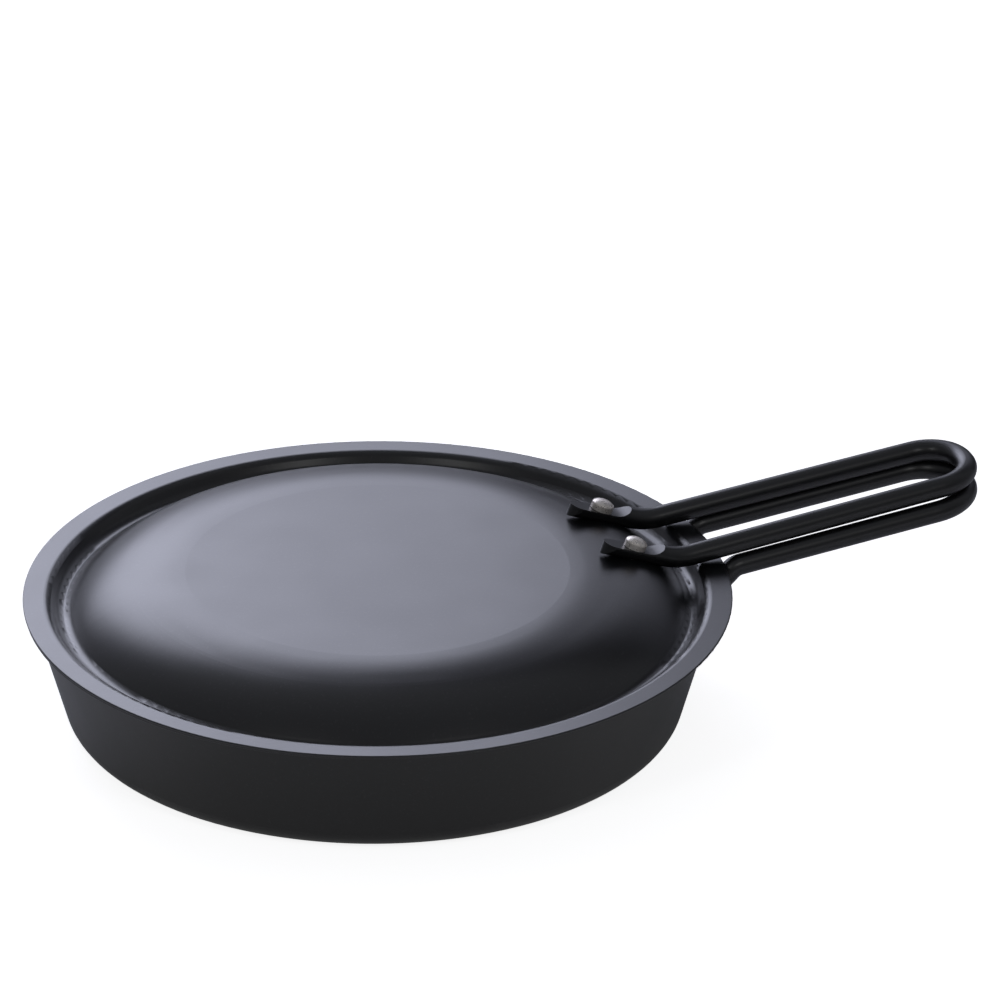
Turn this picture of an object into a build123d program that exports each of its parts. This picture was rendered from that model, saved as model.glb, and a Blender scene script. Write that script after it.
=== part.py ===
from build123d import *
from math import cos, hypot, radians, sin, sqrt, tan
import os

# Round grill pan with a drop-in lid, in millimetres.
# The pan stands on z = 0, centred on the origin, and both handles point along +X.

# Pan sheet
pan_height = 40.8  # table to the top of the rim
pan_sheet = 1.0
rim_radius = 113.4
rim_width = 3.0  # rim's underside, from its edge in to the wall
wall_flare = 16.2  # degrees from upright
base_bend = 8.5  # outside radius between base and wall
rim_bend = 1.0  # radius under the rim

# Grill ridges pressed up in the floor
ridge_rise = 1.8
ridge_width = 7.4
ridge_pitch = 13.0
ridge_flank = 40.0  # degrees from upright
ridge_margin = 13.0  # floor left flat around the ridges

# Lid sheet
lid_sheet = 0.8
lid_overhang = 1.6  # flange past the pan's rim
lid_play = 2.8  # sideways room between the lid's groove and the pan
lid_shift = 1.3  # how far the loose lid sits towards the handles
lid_top = 9.5  # flat top, above the flange
shoulder_height = 5.05  # corner between crown and side, above the flange
crown_slope = 12.25  # degrees from level
side_slope = 46.0
groove_slope = 55.0
groove_depth = 4.5
groove_width = 3.33
crown_bend = 78.0
shoulder_bend = 37.0
groove_inner_bend = 3.0
groove_outer_bend = 3.6
lip_bend = 3.0

# Handle wire
wire_diameter = 7.0
handle_reach = 209.35  # centre of the pan to the outer end of both loops
handle_rise = 5.54  # degrees from level
handle_gap = 0.33  # between the two handles
lid_leg_gap = 30.0  # between leg centres at the rivets
lid_end_gap = 27.2  # between leg centres at the loop
pan_leg_gap = 32.6
pan_end_gap = 31.8
lid_neck_bend = 20.0
pan_wall_neck_bend = 10.0
pan_rim_neck_bend = 5.0

# Flattened and riveted ends of the wire
pad_thickness = 3.2
pad_seat_flat = 0.9  # how far the round underside is pressed flat
pad_tip = 11.15  # rivet to the tip
scoop_start = 4.2  # rivet to the start of the hollow that rises to the full wire
scoop_bend = 7.5
lid_pad_slope = 21.5  # degrees from level
lid_rivet_inset = 8.95  # inside the shoulder corner
lid_neck_length = 16.3  # rivet to the bend
pan_rivet_height = 17.4
pan_neck_drop = 11.3  # rim's top to the bend over the wall
pan_neck_reach = 5.9  # past the rim's edge

# Rivets
shank_diameter = 4.0
hole_clearance = 0.1
seat_clearance = 0.1
head_diameter = 7.4
head_side = 2.2
head_height = 3.55
head_round = 1.0
tail_diameter = 7.0
tail_height = 1.6
edge_round = 0.3

# Heights and radii that follow from the sizes above
wire_radius = wire_diameter / 2
hole_radius = shank_diameter / 2 + hole_clearance
rim_under = pan_height - pan_sheet
wall_top_radius = rim_radius - rim_width
flare_run = tan(radians(wall_flare))
base_corner_radius = wall_top_radius - flare_run * rim_under
opening_radius = wall_top_radius + flare_run * pan_sheet - pan_sheet / cos(radians(wall_flare))
flange_top = pan_height + lid_sheet
lid_radius = rim_radius + lid_overhang

# Corners of the pan's outside, from the middle of the base to the rim's edge
pan_corners = [
    (0, 0),
    (base_corner_radius, 0),
    (wall_top_radius, rim_under),
    (rim_radius, rim_under),
]
pan_bends = [base_bend, rim_bend]

# Corners of the lid's upper face, from the middle of the dome to the flange's edge
lip_radius = opening_radius - lid_play
groove_outer = lip_radius - groove_depth / tan(radians(groove_slope))
groove_inner = groove_outer - groove_width
shoulder_radius = groove_inner - (shoulder_height + groove_depth) / tan(radians(side_slope))
crown_radius = shoulder_radius - (lid_top - shoulder_height) / tan(radians(crown_slope))
crown_run = (lid_top - shoulder_height) / sin(radians(crown_slope))
crown_tangent = crown_bend * tan(radians(crown_slope) / 2)
shoulder_tangent = shoulder_bend * tan(radians(side_slope - crown_slope) / 2)
bend_share = min(1, 0.99 * crown_run / (crown_tangent + shoulder_tangent))  # both bends fit the slope
fitted_shoulder = bend_share * shoulder_bend
lid_corners = [
    (0, flange_top + lid_top),
    (crown_radius, flange_top + lid_top),
    (shoulder_radius, flange_top + shoulder_height),
    (groove_inner, flange_top - groove_depth),
    (groove_outer, flange_top - groove_depth),
    (lip_radius, flange_top),
    (lid_radius, flange_top),
]
lid_bends = [bend_share * crown_bend, fitted_shoulder, groove_inner_bend, groove_outer_bend, lip_bend]

lid_plane = Plane((lid_shift, 0, 0), x_dir=(1, 0, 0), z_dir=(0, -1, 0))
lid_axis = Axis((lid_shift, 0, 0), (0, 0, 1))


def parallel(corners, bends, out):
    """Corners and bends of the line that runs beside another, out to its upper side."""
    steps = [(Vector(*b) - Vector(*a)).normalized() for a, b in zip(corners, corners[1:])]
    normals = [Vector(-step.Y, step.X) for step in steps]
    shifts = [normals[0]]
    moved_bends = []
    for before, after, bend in zip(normals, normals[1:], bends):
        shifts.append((before + after) / (1 + before.dot(after)))
        turn = 1 if before.cross(after).Z > 0 else -1
        moved_bends.append(bend - turn * out)
    shifts.append(normals[-1])
    moved = [Vector(*corner) + shift * out for corner, shift in zip(corners, shifts)]
    return [(point.X, point.Y) for point in moved], moved_bends


def sheet_outline(corners, bends, thickness):
    """Closed outline of a pressed sheet, from the middle of the pressing to its edge."""
    face = FilletPolyline(*corners, radius=bends)
    back_corners, back_bends = parallel(corners, bends, thickness)
    back = FilletPolyline(*back_corners, radius=back_bends)
    Line(face @ 0, back @ 0)
    Line(face @ 1, back @ 1)


def space_outline(corners, bends, out, level):
    """Closed outline of the space between a sheet's face and a level plane."""
    face_corners, face_bends = parallel(corners, bends, out)
    face = FilletPolyline(*face_corners, radius=face_bends)
    edge_radius = (face @ 1).X
    Polyline(face @ 1, (edge_radius, level), (0, level), face @ 0)


def shoulder_level(radius):
    """Height of the lid's upper face on the shoulder's arc."""
    entry = radians(crown_slope)
    tangent = bend_share * shoulder_tangent
    middle_radius = shoulder_radius - tangent * cos(entry) - fitted_shoulder * sin(entry)
    middle_level = flange_top + shoulder_height + tangent * sin(entry) - fitted_shoulder * cos(entry)
    return middle_level + sqrt(fitted_shoulder**2 - (radius - middle_radius) ** 2)


def wall_radius(level):
    """Outside radius of the pan's wall."""
    return wall_top_radius - flare_run * (rim_under - level)


def lid_seat(side):
    """Plane on the dome under one lid pad: x runs down the pad, z is the rivet's axis."""
    reach = shoulder_radius - lid_rivet_inset
    across = side * lid_leg_gap / 2
    slope = radians(lid_pad_slope)
    origin = (lid_shift + reach, across, shoulder_level(hypot(reach, across)))
    return Plane(origin, x_dir=(cos(slope), 0, -sin(slope)), z_dir=(sin(slope), 0, cos(slope)))


def pan_seat(side):
    """Plane on the wall under one pan pad: x runs up the pad, z is the rivet's axis."""
    across = side * pan_leg_gap / 2
    slope = radians(wall_flare)
    reach = sqrt(wall_radius(pan_rivet_height) ** 2 - across**2)
    origin = (reach, across, pan_rivet_height)
    return Plane(origin, x_dir=(sin(slope), 0, cos(slope)), z_dir=(cos(slope), 0, -sin(slope)))


def on_seat(seat, along, out):
    """Point of a seat's plane, along its pad and out from it."""
    return seat.origin + seat.x_dir * along + seat.z_dir * out


axis_out = wire_radius - pad_seat_flat + seat_clearance
pad_out = pad_thickness + seat_clearance
rise_run = tan(radians(handle_rise))
loop_reach = handle_reach - wire_radius


def loop_path(legs, end_gap, bends):
    """Centre line of a hairpin: up the front leg, round the loop and down the rear leg."""
    bend = legs[-1]
    end_level = bend.Z + (loop_reach - bend.X) * rise_run
    end = Vector(loop_reach, -end_gap / 2, end_level)
    front = legs + [end]
    rear = [Vector(p.X, -p.Y, p.Z) for p in reversed(front)]
    loop_bend = 0.97 * end_gap / 2
    return FilletPolyline(*front, *rear, radius=bends + [loop_bend, loop_bend] + bends[::-1])


def flatten_end(seat):
    """Presses one wire end flat, rounds its tip and hollows it up to the full wire."""
    top = axis_out + wire_diameter
    tip_centre = wire_radius - pad_tip
    rise = top - pad_out
    side_plane = Plane(seat.origin, x_dir=seat.x_dir, z_dir=-seat.y_dir)
    with BuildSketch(side_plane) as pressed:
        with BuildLine():
            level = Line((-2 * pad_tip, pad_out), (scoop_start, pad_out))
            hollow = RadiusArc(
                level @ 1,
                (scoop_start + sqrt(scoop_bend**2 - (scoop_bend - rise) ** 2), top),
                -scoop_bend,
            )
            Polyline(hollow @ 1, (-2 * pad_tip, top), level @ 0)
        make_face()
    extrude(pressed.sketch, amount=wire_diameter, both=True, mode=Mode.SUBTRACT)
    with BuildSketch(seat) as tip:
        with Locations((tip_centre - wire_diameter, 0)):
            Rectangle(2 * wire_diameter, 2 * wire_diameter)
        with Locations((tip_centre, 0)):
            Circle(wire_radius, mode=Mode.SUBTRACT)
    extrude(tip.sketch, amount=top, both=True, mode=Mode.SUBTRACT)


def drill(seat):
    """Rivet hole through whatever stands on or under a seat."""
    with BuildSketch(seat) as hole:
        Circle(hole_radius)
    extrude(hole.sketch, amount=wire_diameter, both=True, mode=Mode.SUBTRACT)


# Spaces beside the sheets, which fit the pads and the rivets' tails to the curved faces

with BuildPart() as under_lid_face:
    with BuildSketch(lid_plane):
        with BuildLine():
            space_outline(lid_corners, lid_bends, seat_clearance, 0)
        make_face()
    revolve(axis=lid_axis)

with BuildPart() as under_lid_back:
    with BuildSketch(lid_plane):
        with BuildLine():
            space_outline(lid_corners, lid_bends, -lid_sheet - seat_clearance, 0)
        make_face()
    revolve(axis=lid_axis)

with BuildPart() as inside_pan_face:
    with BuildSketch(Plane.XZ):
        with BuildLine():
            space_outline(pan_corners[:-1], pan_bends[:-1], -seat_clearance, flange_top)
        make_face()
    revolve(axis=Axis.Z)

with BuildPart() as inside_pan_back:
    with BuildSketch(Plane.XZ):
        with BuildLine():
            space_outline(pan_corners[:-1], pan_bends[:-1], pan_sheet + seat_clearance, flange_top)
        make_face()
    revolve(axis=Axis.Z)

# Pan: one pressed sheet with a flared wall, a narrow rim and ridges in its floor

ridge_foot_reach = base_corner_radius - base_bend - ridge_margin
ridge_pairs = int((ridge_foot_reach - ridge_width) / ridge_pitch + 0.5)
ridge_lines = [(row + 0.5) * ridge_pitch for row in range(ridge_pairs)]
ridge_back_width = ridge_width - 2 * pan_sheet * tan(radians(45 - ridge_flank / 2))

with BuildPart() as pan_body:
    with BuildSketch(Plane.XZ):
        with BuildLine():
            sheet_outline(pan_corners, pan_bends, pan_sheet)
        make_face()
    revolve(axis=Axis.Z)
    fillet(pan_body.edges().filter_by(GeomType.CIRCLE).group_by(SortBy.RADIUS)[-1], edge_round)
    for level, width, mode in ((pan_sheet, ridge_width, Mode.ADD), (0, ridge_back_width, Mode.SUBTRACT)):
        with BuildSketch(Plane.XY.offset(level)):
            for line in ridge_lines:
                half_length = sqrt(ridge_foot_reach**2 - line**2)
                with Locations((0, line), (0, -line)):
                    SlotOverall(2 * half_length - ridge_width + width, width)
        extrude(amount=ridge_rise, taper=ridge_flank, mode=mode)
    for side in (-1, 1):
        drill(pan_seat(side))

# Lid: one pressed sheet with a flat-topped dome, a locating groove and a flange

with BuildPart() as lid_body:
    with BuildSketch(lid_plane):
        with BuildLine():
            sheet_outline(lid_corners, lid_bends, -lid_sheet)
        make_face()
    revolve(axis=lid_axis)
    fillet(lid_body.edges().filter_by(GeomType.CIRCLE).group_by(SortBy.RADIUS)[-1], edge_round)
    for side in (-1, 1):
        drill(lid_seat(side))

# Handles: one wire each, bent into a hairpin loop with two flattened ends

lid_neck = on_seat(lid_seat(-1), lid_neck_length, axis_out)
pan_axis_foot = on_seat(pan_seat(-1), 0, axis_out)
wall_neck_level = pan_height - pan_neck_drop
wall_neck = on_seat(
    pan_seat(-1), (wall_neck_level - pan_axis_foot.Z) / cos(radians(wall_flare)), axis_out
)
rim_neck_reach = rim_radius + pan_neck_reach
handle_drop = (wire_diameter + handle_gap) / cos(radians(handle_rise))
rim_neck = Vector(
    rim_neck_reach,
    -pan_leg_gap / 2,
    lid_neck.Z + (rim_neck_reach - lid_neck.X) * rise_run - handle_drop,
)

with BuildPart() as lid_handle:
    with BuildLine():
        lid_loop = loop_path(
            [on_seat(lid_seat(-1), -pad_tip, axis_out), lid_neck],
            lid_end_gap,
            [lid_neck_bend],
        )
    with BuildSketch(Plane(lid_loop @ 0, z_dir=lid_loop % 0)):
        Circle(wire_radius)
    sweep()
    for side in (-1, 1):
        flatten_end(lid_seat(side))
    add(under_lid_face.part, mode=Mode.SUBTRACT)
    for side in (-1, 1):
        drill(lid_seat(side))

with BuildPart() as pan_handle:
    with BuildLine():
        pan_loop = loop_path(
            [on_seat(pan_seat(-1), -pad_tip, axis_out), wall_neck, rim_neck],
            pan_end_gap,
            [pan_wall_neck_bend, pan_rim_neck_bend],
        )
    with BuildSketch(Plane(pan_loop @ 0, z_dir=pan_loop % 0)):
        Circle(wire_radius)
    sweep()
    for side in (-1, 1):
        flatten_end(pan_seat(side))
    add(inside_pan_face.part, mode=Mode.SUBTRACT)
    for side in (-1, 1):
        drill(pan_seat(side))

# Rivets: a domed head on the pad, a shank through pad and sheet, and a low tail inside


def build_rivet(seat, sheet, inner_space):
    """One rivet, with its tail cut to the sheet's back."""
    tail_end = -sheet - seat_clearance - tail_height
    head_foot = pad_out + seat_clearance
    head_radius = head_diameter / 2
    rise = head_height - head_side
    with BuildSketch(seat.offset(tail_end)) as tail:
        Circle(tail_diameter / 2)
    extrude(tail.sketch, amount=tail_height + sheet + wire_radius)
    ends = edges().filter_by(GeomType.CIRCLE)
    fillet(ends.sort_by_distance(on_seat(seat, 0, tail_end))[0], edge_round)
    add(inner_space, mode=Mode.INTERSECT)
    with BuildSketch(seat.offset(tail_end + tail_height / 2)) as shank:
        Circle(shank_diameter / 2)
    extrude(shank.sketch, amount=head_foot + head_side - tail_end - tail_height / 2)
    with BuildSketch(Plane(seat.origin, x_dir=seat.x_dir, z_dir=-seat.y_dir)) as head:
        with BuildLine():
            foot = Line((0, head_foot), (head_radius, head_foot))
            side = Line(foot @ 1, (head_radius, head_foot + head_side))
            RadiusArc(
                side @ 1,
                (0, head_foot + head_height),
                -(head_radius**2 + rise**2) / (2 * rise),
            )
            Line((0, head_foot + head_height), foot @ 0)
        make_face()
        fillet(vertices().sort_by_distance(side @ 1)[0], head_round)
    revolve(head.sketch, axis=Axis(seat.origin, seat.z_dir))


with BuildPart() as lid_rivet_front:
    build_rivet(lid_seat(-1), lid_sheet, under_lid_back.part)

with BuildPart() as lid_rivet_rear:
    build_rivet(lid_seat(1), lid_sheet, under_lid_back.part)

with BuildPart() as pan_rivet_front:
    build_rivet(pan_seat(-1), pan_sheet, inside_pan_back.part)

with BuildPart() as pan_rivet_rear:
    build_rivet(pan_seat(1), pan_sheet, inside_pan_back.part)

pan_body.part.label = "pan_body"
pan_handle.part.label = "pan_handle"
pan_rivet_front.part.label = "pan_rivet_front"
pan_rivet_rear.part.label = "pan_rivet_rear"
lid_body.part.label = "lid_body"
lid_handle.part.label = "lid_handle"
lid_rivet_front.part.label = "lid_rivet_front"
lid_rivet_rear.part.label = "lid_rivet_rear"

os.makedirs("parts", exist_ok=True)
export_step(pan_body.part, "parts/pan_body.step")
export_step(pan_handle.part, "parts/pan_handle.step")
export_step(pan_rivet_front.part, "parts/pan_rivet_front.step")
export_step(pan_rivet_rear.part, "parts/pan_rivet_rear.step")
export_step(lid_body.part, "parts/lid_body.step")
export_step(lid_handle.part, "parts/lid_handle.step")
export_step(lid_rivet_front.part, "parts/lid_rivet_front.step")
export_step(lid_rivet_rear.part, "parts/lid_rivet_rear.step")
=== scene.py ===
# %% [markdown]
# # A round grill pan with its lid
# The pan is one black-coated steel sheet, pressed into a shallow dish with a flared wall.
# A second sheet, the lid, drops into it.  Two bent wires, flattened and riveted at their
# ends, make the handles.  The solid model arrives finished and to size, so this lesson is
# about what a camera would see: the coat, the bare rivets, the light and the view.

# %% Load the solid model
from math import cos, pi, radians, sin

import bmesh
import bpy
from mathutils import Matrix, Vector

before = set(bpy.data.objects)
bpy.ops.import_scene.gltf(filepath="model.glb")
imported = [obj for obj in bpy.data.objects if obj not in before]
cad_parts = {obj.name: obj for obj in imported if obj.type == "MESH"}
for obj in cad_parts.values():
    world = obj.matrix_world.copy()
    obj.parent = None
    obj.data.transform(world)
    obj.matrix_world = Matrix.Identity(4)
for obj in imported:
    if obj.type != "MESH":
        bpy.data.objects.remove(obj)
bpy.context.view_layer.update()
print("pieces:", sorted(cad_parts))

# %% [markdown]
# ## Camera
# The view is nearly free of perspective, as with a long lens from six metres away.
# A camera close by would make the near flange look too wide.  It looks down at the
# pan by a little over 26 degrees, and the handle points away to the right.
# The lens is aimed past the pan, so that the pan sits low and left in the picture.

# %% Directions of the view
VIEW_AZIMUTH = radians(-20.5)
VIEW_ELEVATION = radians(26.4)
FLANGE_TOP = 0.0416  # metres above the table

overhead = Vector((0, 0, 1))
centre = overhead * FLANGE_TOP
away = Vector((-sin(VIEW_AZIMUTH), cos(VIEW_AZIMUTH), 0))
sight = (away * cos(VIEW_ELEVATION) - overhead * sin(VIEW_ELEVATION)).normalized()
right = sight.cross(overhead).normalized()
up = right.cross(sight)
print("line of sight:", [round(part, 3) for part in sight])


# %% Helper that adds an object to the scene
def link_object(name, data):
    """Puts new mesh, lamp or camera data into the scene."""
    made = bpy.data.objects.new(name, data)
    bpy.context.collection.objects.link(made)
    return made


print("helper ready:", link_object.__name__)

# %% [markdown]
# The lens is found from the scale of the picture: at the distance of the camera, one
# metre has to cover so many pixels.  The aim is then shifted until the middle of the
# flange's plane falls on the pixel where it belongs.

# %% Aim a long lens at the pan
VIEW_DISTANCE = 6.0  # metres
PIXELS_PER_METRE = 3087.0
IMAGE_WIDTH = 1000
SEEN_AT = (373.6, 596.0)  # pixels from the left and from the top
SENSOR_WIDTH = 36  # mm, as the lens
FARTHEST_SEEN = 50

camera_data = bpy.data.cameras.new("camera")
camera_data.sensor_width = SENSOR_WIDTH
camera_data.lens = SENSOR_WIDTH * PIXELS_PER_METRE * VIEW_DISTANCE / IMAGE_WIDTH
camera_data.clip_end = FARTHEST_SEEN
camera = link_object("camera", camera_data)
bpy.context.scene.camera = camera

aim = centre + right * (IMAGE_WIDTH / 2 - SEEN_AT[0]) / PIXELS_PER_METRE
aim -= up * (IMAGE_WIDTH / 2 - SEEN_AT[1]) / PIXELS_PER_METRE
camera.location = centre - sight * VIEW_DISTANCE
camera.rotation_euler = (aim - camera.location).to_track_quat("-Z", "Y").to_euler()
print("lens in mm:", round(camera_data.lens, 1))

# %% [markdown]
# ## Tools for nodes
# Light and finishes are both made of small networks of nodes.  Each helper below adds
# one or two nodes and hands back an output, so that a network reads like a formula.

# %% Helpers for values
def node_tree(name):
    """A new material with an empty node tree and its output node."""
    material = bpy.data.materials.new(name)
    material.use_nodes = True
    tree = material.node_tree
    tree.nodes.clear()
    output = tree.nodes.new("ShaderNodeOutputMaterial")
    return material, tree, output


def calculated(tree, operation, *values):
    """The result of a math node, whose inputs are numbers or other nodes' outputs."""
    made = tree.nodes.new("ShaderNodeMath")
    made.operation = operation
    for socket, value in zip(made.inputs, values):
        if isinstance(value, (int, float)):
            socket.default_value = value
        else:
            tree.links.new(value, socket)
    return made.outputs[0]


def ranged(tree, source, low, high, to_low, to_high, smooth=False):
    """Stretches a value from one range to another and keeps it inside."""
    made = tree.nodes.new("ShaderNodeMapRange")
    if smooth:
        made.interpolation_type = "SMOOTHSTEP"
    made.inputs["From Min"].default_value = low
    made.inputs["From Max"].default_value = high
    made.inputs["To Min"].default_value = to_low
    made.inputs["To Max"].default_value = to_high
    tree.links.new(source, made.inputs["Value"])
    return made.outputs["Result"]


print("helpers ready:", node_tree.__name__, calculated.__name__, ranged.__name__)

# %% Helpers for places and light
def along(tree, space, direction):
    """How far a point lies in a direction, in one of the texture coordinate spaces."""
    place = tree.nodes.new("ShaderNodeTexCoord")
    measured = tree.nodes.new("ShaderNodeVectorMath")
    measured.operation = "DOT_PRODUCT"
    measured.inputs[1].default_value = direction
    tree.links.new(place.outputs[space], measured.inputs[0])
    return measured.outputs["Value"]


def glowing(tree, kind, colour, strength):
    """An even glow of one colour, whose strength is a number or comes from a node."""
    made = tree.nodes.new(kind)
    made.inputs["Color"].default_value = colour
    if isinstance(strength, (int, float)):
        made.inputs["Strength"].default_value = strength
    else:
        tree.links.new(strength, made.inputs["Strength"])
    return made.outputs[0]


def add_sheet(name, width, height, rise, material):
    """A flat sheet of paper, with its middle raised along its own height."""
    mesh = bmesh.new()
    bmesh.ops.create_grid(mesh, x_segments=1, y_segments=1, size=0.5)
    bmesh.ops.scale(mesh, vec=(width, height, 1), verts=mesh.verts)
    bmesh.ops.translate(mesh, vec=(0, rise, 0), verts=mesh.verts)
    data = bpy.data.meshes.new(name)
    mesh.to_mesh(data)
    mesh.free()
    data.materials.append(material)
    return link_object(name, data)


print("helpers ready:", along.__name__, glowing.__name__, add_sheet.__name__)

# %% [markdown]
# ## Light
# A dark coat shows little colour of its own: nearly all that the eye sees on it is a
# reflection.  Four things are there to be reflected.  A bright screen stands behind the
# pan, strongest a little to the left, so level faces shine and faces that tip toward
# the camera go dark.  The room around it stays dim.  Two small lamps on the camera's
# side put highlights on the rivets.  The ground looks white to the camera, and adds only
# a weak sheen of its own to reflections.
#
# ### Ground
# The sheen grows over eight centimetres from the pan's middle toward the camera, so
# that mostly the near wall gets some of it.

# %% White ground that the camera sees as the backdrop
PAPER_COLOUR = (0.8, 0.8, 0.81, 1)
WHITE = (1, 1, 1, 1)
GROUND_GLOW = 0.86
GROUND_SHEEN = 0.1
SHEEN_GROWS_OVER = 0.08  # metres
GROUND_WIDTH = 12

ground_paper, tree, output = node_tree("ground_paper")
paper = tree.nodes.new("ShaderNodeBsdfDiffuse")
paper.inputs["Color"].default_value = PAPER_COLOUR
rays = tree.nodes.new("ShaderNodeLightPath")
toward_camera = along(tree, "Object", -away)
sheen = ranged(tree, toward_camera, 0, SHEEN_GROWS_OVER, 0, GROUND_SHEEN)
seen_glow = calculated(tree, "MULTIPLY", rays.outputs["Is Camera Ray"], GROUND_GLOW)
level = calculated(tree, "MULTIPLY_ADD", rays.outputs["Is Glossy Ray"], sheen, seen_glow)
both = tree.nodes.new("ShaderNodeAddShader")
tree.links.new(paper.outputs[0], both.inputs[0])
tree.links.new(glowing(tree, "ShaderNodeEmission", WHITE, level), both.inputs[1])
tree.links.new(both.outputs[0], output.inputs["Surface"])

ground = add_sheet("ground", GROUND_WIDTH, GROUND_WIDTH, 0, ground_paper)
print("ground is", GROUND_WIDTH, "metres wide")

# %% [markdown]
# ### Room
# The room is a little brighter high up at the back and fades toward the opposite side.
# The camera itself sees plain white beyond the ground.

# %% Dim room
ROOM_COLOUR = (0.93, 0.96, 1.05, 1)
ROOM_PEAK = radians(42)
ROOM_DIM = 0.08
ROOM_BRIGHT = 0.27
ROOM_FADE_ENDS = -0.4  # cosine of the angle from the brightest place

world = bpy.data.worlds.new("studio")
bpy.context.scene.world = world
world.use_nodes = True
tree = world.node_tree
tree.nodes.clear()
output = tree.nodes.new("ShaderNodeOutputWorld")
rays = tree.nodes.new("ShaderNodeLightPath")
brightest = (away * cos(ROOM_PEAK) + overhead * sin(ROOM_PEAK)).normalized()
toward_peak = along(tree, "Generated", brightest)
level = ranged(tree, toward_peak, ROOM_FADE_ENDS, 1, ROOM_DIM, ROOM_BRIGHT)
choice = tree.nodes.new("ShaderNodeMixShader")
tree.links.new(rays.outputs["Is Camera Ray"], choice.inputs["Fac"])
tree.links.new(glowing(tree, "ShaderNodeBackground", ROOM_COLOUR, level), choice.inputs[1])
tree.links.new(glowing(tree, "ShaderNodeBackground", WHITE, 1), choice.inputs[2])
tree.links.new(choice.outputs[0], output.inputs["Surface"])

bpy.context.scene.view_settings.view_transform = "Standard"
print("room is brightest toward:", [round(part, 2) for part in brightest])

# %% [markdown]
# ### Lamps
# Both lamps face the middle of the lid from the camera's side, thirty degrees to the
# right and to the left of it and a little higher.  They are small and weak: a broad
# dark sheet hardly shows them, a domed bare rivet does.

# %% Two small lamps on the camera's side
LAMPS_AROUND = {"right": radians(150), "left": radians(-150)}  # from straight away
LAMP_ELEVATION = radians(38)
LAMP_DISTANCE = 1.1
LAMP_WIDTH = 0.16
LAMP_POWER = 0.5

for side, around in LAMPS_AROUND.items():
    lamp_data = bpy.data.lights.new("lamp_" + side, "AREA")
    lamp_data.shape = "SQUARE"
    lamp_data.size = LAMP_WIDTH
    lamp_data.energy = LAMP_POWER
    sideways = away * cos(around) + right * sin(around)
    outward = sideways * cos(LAMP_ELEVATION) + overhead * sin(LAMP_ELEVATION)
    lamp = link_object(lamp_data.name, lamp_data)
    lamp.location = centre + outward * LAMP_DISTANCE
    lamp.rotation_euler = (-outward).to_track_quat("-Z", "Y").to_euler()
    print(lamp.name, "stands at:", [round(part, 2) for part in lamp.location])

# %% [markdown]
# ### Screen
# The screen's brightness is a product of three shares.  The first changes across its
# width.  The second rises from a weak foot to full strength at 0.32 metres.  The third
# fades out at the top, and on the left half the fade climbs away from the middle, since
# the bright patch on the dome leans that way.

# %% How bright the screen is across and up
SCREEN_COLOUR = (0.95, 0.98, 1.18, 1)
SCREEN_LEVEL = 3.6
SCREEN_AWAY = 0.75
SCREEN_WIDTH = 2.4
SCREEN_HEIGHT = 1.2
SCREEN_FOOT = (0.15, 0.32)
SCREEN_FOOT_SHARE = 0.1
SCREEN_FADE = (0.48, 0.82)
SCREEN_TILT = 0.42  # rise of the fade for each metre to the left
SCREEN_SHARES = [  # metres from the middle, share of the full level
    (-1.2, 0.05),
    (-0.8, 0.07),
    (-0.62, 0.3),
    (-0.48, 0.85),
    (-0.3, 1.0),
    (-0.12, 1.0),
    (0.0, 0.66),
    (0.07, 0.7),
    (0.095, 0.3),
    (0.115, 0.16),
    (0.22, 0.2),
    (0.38, 0.15),
    (0.55, 0.08),
    (1.2, 0.0),
]
print("screen reaches", SCREEN_HEIGHT, "metres up and is", SCREEN_WIDTH, "metres wide")


# %% Helper that turns a list of shares into a ramp
def shared_across(tree, value, width, shares):
    """Share at a place across a width, straight between the places in the list."""
    made = tree.nodes.new("ShaderNodeValToRGB")
    ends = made.color_ramp.elements[0], made.color_ramp.elements[1]
    for stop, (place, share) in zip(ends, (shares[0], shares[-1])):
        stop.position = place / width + 0.5
        stop.color = (share, share, share, 1)
    for place, share in shares[1:-1]:
        stop = made.color_ramp.elements.new(place / width + 0.5)
        stop.color = (share, share, share, 1)
    tree.links.new(ranged(tree, value, -width / 2, width / 2, 0, 1), made.inputs["Fac"])
    return made.outputs["Color"]


print("helper ready:", shared_across.__name__)

# %% Bright screen behind the pan, stronger to the left
screen_paper, tree, output = node_tree("screen_paper")
sideways = along(tree, "Object", (1, 0, 0))
upward = along(tree, "Object", (0, 1, 0))
across = shared_across(tree, sideways, SCREEN_WIDTH, SCREEN_SHARES)
foot = ranged(tree, upward, *SCREEN_FOOT, SCREEN_FOOT_SHARE, 1, smooth=True)
leftward = calculated(tree, "MINIMUM", sideways, 0)
leaning = calculated(tree, "MULTIPLY_ADD", leftward, SCREEN_TILT, upward)
fade = ranged(tree, leaning, *SCREEN_FADE, 1, 0, smooth=True)
share = calculated(tree, "MULTIPLY", across, fade)
share = calculated(tree, "MULTIPLY", share, foot)
level = calculated(tree, "MULTIPLY", share, SCREEN_LEVEL)
screen_glow = glowing(tree, "ShaderNodeEmission", SCREEN_COLOUR, level)
tree.links.new(screen_glow, output.inputs["Surface"])

screen = add_sheet("screen", SCREEN_WIDTH, SCREEN_HEIGHT, SCREEN_HEIGHT / 2, screen_paper)
screen.location = away * SCREEN_AWAY
screen.rotation_euler = (pi / 2, 0, VIEW_AZIMUTH)
screen.visible_camera = False
print("screen stands at:", [round(part, 2) for part in screen.location])

# %% [markdown]
# ## Coat
# Sheets and wires carry a baked black coat with a satin face.  A baked coat is never
# quite even: it has a fine orange-peel ripple, patches that are a little glossier than
# others, and tiny pale specks of dust.  On sharp edges it wears thin, so they catch a
# slightly greyer line.  All of it is made from noise in the piece's own coordinates, in
# metres, so that the grain keeps its real size on every piece.

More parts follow.
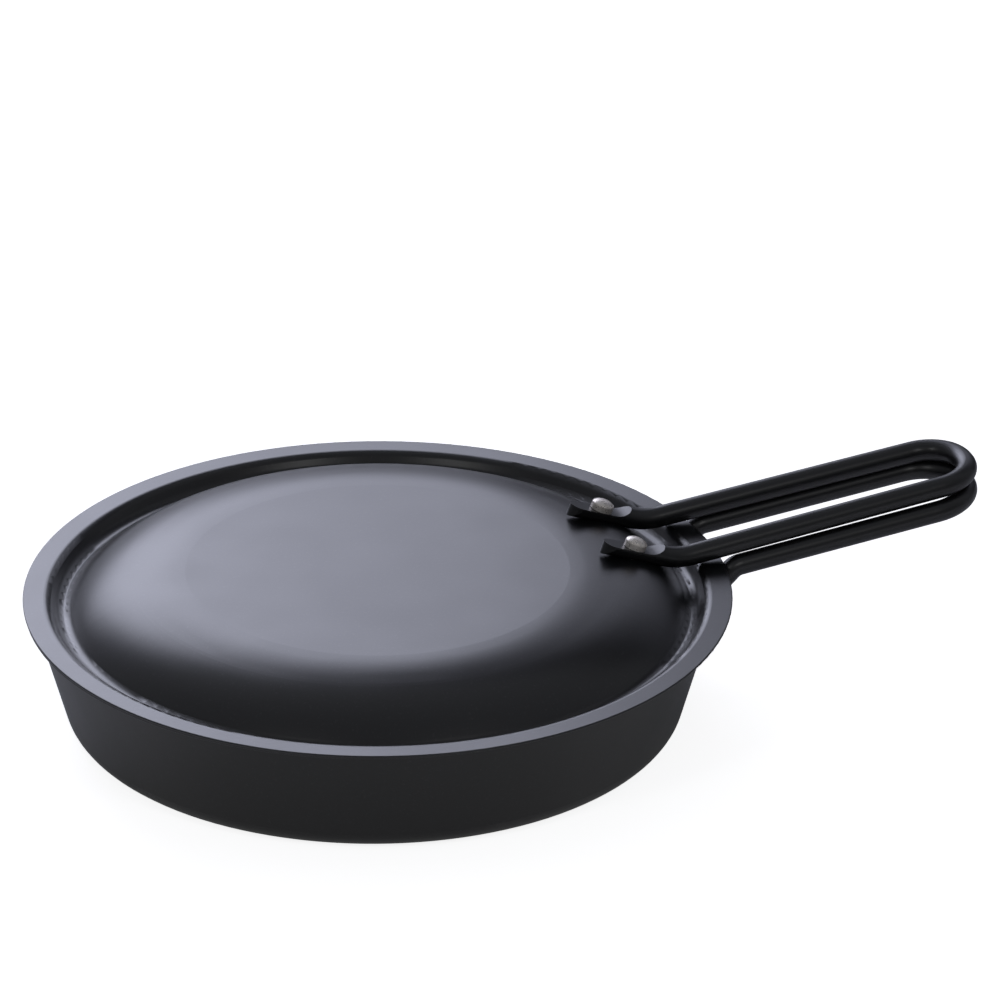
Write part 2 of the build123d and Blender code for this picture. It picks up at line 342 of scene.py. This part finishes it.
# %% Helpers for uneven surfaces
def noise(tree, scale, detail, roughness=0.5):
    """Noise in a piece's own coordinates, with scale in cycles per metre."""
    place = tree.nodes.new("ShaderNodeTexCoord")
    made = tree.nodes.new("ShaderNodeTexNoise")
    made.inputs["Scale"].default_value = scale
    made.inputs["Detail"].default_value = detail
    made.inputs["Roughness"].default_value = roughness
    tree.links.new(place.outputs["Object"], made.inputs["Vector"])
    return made.outputs["Fac"]


def blend(tree, share, first, second):
    """Mixes two colours, of which either may come from another node."""
    made = tree.nodes.new("ShaderNodeMix")
    made.data_type = "RGBA"
    tree.links.new(share, made.inputs["Factor"])
    for socket, colour in ((made.inputs["A"], first), (made.inputs["B"], second)):
        if isinstance(colour, tuple):
            socket.default_value = (*colour, 1)
        else:
            tree.links.new(colour, socket)
    return made.outputs["Result"]


def bumped(tree, height, depth, strength, below=None):
    """Turns a height into a bump, on top of another bump if there is one."""
    made = tree.nodes.new("ShaderNodeBump")
    made.inputs["Distance"].default_value = depth
    made.inputs["Strength"].default_value = strength
    tree.links.new(height, made.inputs["Height"])
    if below is not None:
        tree.links.new(below, made.inputs["Normal"])
    return made.outputs["Normal"]


print("helpers ready:", noise.__name__, blend.__name__, bumped.__name__)

# %% [markdown]
# Worn edges are found without any drawing.  One node gives the normal that the surface
# would have if its edges were rounded; where that differs from the true normal, an edge
# is near.

# %% Helper that finds edges
BEVEL_SAMPLES = 4
EDGE_COSINES = (0.995, 0.8)  # where wear begins and where it is full


def edge_share(tree, radius):
    """How close a point is to a sharp edge: 0 on open faces, up to 1 on the edge."""
    rounded = tree.nodes.new("ShaderNodeBevel")
    rounded.samples = BEVEL_SAMPLES
    rounded.inputs["Radius"].default_value = radius
    facing = tree.nodes.new("ShaderNodeNewGeometry")
    same = tree.nodes.new("ShaderNodeVectorMath")
    same.operation = "DOT_PRODUCT"
    tree.links.new(rounded.outputs["Normal"], same.inputs[0])
    tree.links.new(facing.outputs["Normal"], same.inputs[1])
    return ranged(tree, same.outputs["Value"], *EDGE_COSINES, 0, 1)


print("helper ready:", edge_share.__name__)

# %% [markdown]
# The coat itself is one shader.  A high index of refraction stands for the hard, glossy
# resin; the roughness makes it satin.  The ripple is a shallow bump that repeats every
# two millimetres or so, and a finer one over it softens the highlights like real grain.

# %% Sizes and strengths of the coat's unevenness
COAT_INDEX = 1.7
PATCHES = (38, 3)  # cycles per metre, detail
SPECKS = (1100, 1)
RIPPLE = (520, 2)
GRAIN = (1500, 1)
SCUFFS = (240, 3)
SPECK_RANGE = (0.6, 0.8, 0, 0.5)  # from low, from high, to low, to high
SCUFF_RANGE = (0.4, 0.65, 0.15, 1)
PATCH_RANGE = (0.35, 0.65)
GLOSSIER = 0.008  # less roughness in some patches, more in others
DULLER = 0.01
GRAIN_DEPTH = 0.000002  # metres
COAT_EDGE = 0.0004  # metres over which an edge counts as near
print("one ripple in mm:", round(1000 / RIPPLE[0], 1))


# %% Recipe for a baked black coat
def baked_coat(name, body, dust, worn, satin, ripple_depth):
    """A satin baked coat: ripple, fine grain, uneven gloss, specks and worn edges."""
    material, tree, output = node_tree(name)
    shader = tree.nodes.new("ShaderNodeBsdfPrincipled")
    shader.inputs["IOR"].default_value = COAT_INDEX
    speck_share = ranged(tree, noise(tree, *SPECKS), *SPECK_RANGE)
    scuffs = ranged(tree, noise(tree, *SCUFFS), *SCUFF_RANGE)
    wear = calculated(tree, "MULTIPLY", edge_share(tree, COAT_EDGE), scuffs)
    dusted = blend(tree, speck_share, body, dust)
    tree.links.new(blend(tree, wear, dusted, worn), shader.inputs["Base Color"])
    gloss_range = (satin - GLOSSIER, satin + DULLER)
    gloss = ranged(tree, noise(tree, *PATCHES), *PATCH_RANGE, *gloss_range)
    tree.links.new(gloss, shader.inputs["Roughness"])
    soft = bumped(tree, noise(tree, *RIPPLE), ripple_depth, 1)
    fine = bumped(tree, noise(tree, *GRAIN), GRAIN_DEPTH, 1, soft)
    tree.links.new(fine, shader.inputs["Normal"])
    tree.links.new(shader.outputs[0], output.inputs["Surface"])
    print(name, "has", len(tree.nodes), "nodes")
    return material


print("helper ready:", baked_coat.__name__)

# %% [markdown]
# The same recipe serves twice.  The wires' coat is a little rougher and more rippled
# than the sheets', and its dust and worn edges are darker.

# %% Coats of the sheets and of the wires
sheet_coat = baked_coat(
    "sheet_coat",
    body=(0.004, 0.004, 0.005),
    dust=(0.03, 0.03, 0.032),
    worn=(0.035, 0.035, 0.036),
    satin=0.31,
    ripple_depth=0.000006,
)
wire_coat = baked_coat(
    "wire_coat",
    body=(0.0035, 0.0035, 0.004),
    dust=(0.02, 0.02, 0.021),
    worn=(0.03, 0.03, 0.03),
    satin=0.36,
    ripple_depth=0.00001,
)

# %% [markdown]
# ## Rivets
# The rivets are left bare: aluminium, set with a domed tool.  The tool leaves a fine
# tooth, so the head is satin, with a crisp speckle and duller patches where it was
# struck.  Its edges are rubbed a little brighter.

# %% Colours and grain of the bare metal
METAL_SHARE = 0.65
BRIGHT_METAL = (0.96, 0.90, 0.83)
DULL_METAL = (0.84, 0.78, 0.71)
RUBBED_METAL = (0.95, 0.93, 0.90)
TOOTH = (1500, 3, 0.65)  # cycles per metre, detail, roughness of the noise
DENTS = (420, 2)
DULL_RANGE = (0.35, 0.7, 0, 1)
SATIN_RANGE = (0.3, 0.7, 0.22, 0.42)
DENT_BUMP = (0.00012, 0.7)  # depth in metres, strength
TOOTH_BUMP = (0.0001, 0.9)
METAL_EDGE = 0.0005
print("rivets' roughness runs from", SATIN_RANGE[2], "to", SATIN_RANGE[3])


# %% Recipe for bare rivet metal
def struck_metal(name):
    """Satin aluminium with a fine tooth, dull patches and bright rubbed edges."""
    material, tree, output = node_tree(name)
    shader = tree.nodes.new("ShaderNodeBsdfPrincipled")
    shader.inputs["Metallic"].default_value = METAL_SHARE
    tooth = noise(tree, *TOOTH)
    dents = noise(tree, *DENTS)
    dull = ranged(tree, dents, *DULL_RANGE)
    colour = blend(tree, dull, BRIGHT_METAL, DULL_METAL)
    rubbed = blend(tree, edge_share(tree, METAL_EDGE), colour, RUBBED_METAL)
    tree.links.new(rubbed, shader.inputs["Base Color"])
    tree.links.new(ranged(tree, tooth, *SATIN_RANGE), shader.inputs["Roughness"])
    dented = bumped(tree, dents, *DENT_BUMP)
    toothed = bumped(tree, tooth, *TOOTH_BUMP, dented)
    tree.links.new(toothed, shader.inputs["Normal"])
    tree.links.new(shader.outputs[0], output.inputs["Surface"])
    print(name, "has", len(tree.nodes), "nodes")
    return material


rivet_metal = struck_metal("rivet_metal")

# %% [markdown]
# ## Pieces and their finishes
# Eight pieces arrive from the solid model.  Each keeps its own mesh, and only its
# material changes.

# %% Give every piece its finish
finishes = {
    "pan_body": sheet_coat,
    "lid_body": sheet_coat,
    "pan_handle": wire_coat,
    "lid_handle": wire_coat,
    "pan_rivet_front": rivet_metal,
    "pan_rivet_rear": rivet_metal,
    "lid_rivet_front": rivet_metal,
    "lid_rivet_rear": rivet_metal,
}
for node, finish in finishes.items():
    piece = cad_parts[node]
    piece.material_slots[0].material = finish
    print(node, "size in mm:", [round(side * 1000, 1) for side in piece.dimensions])
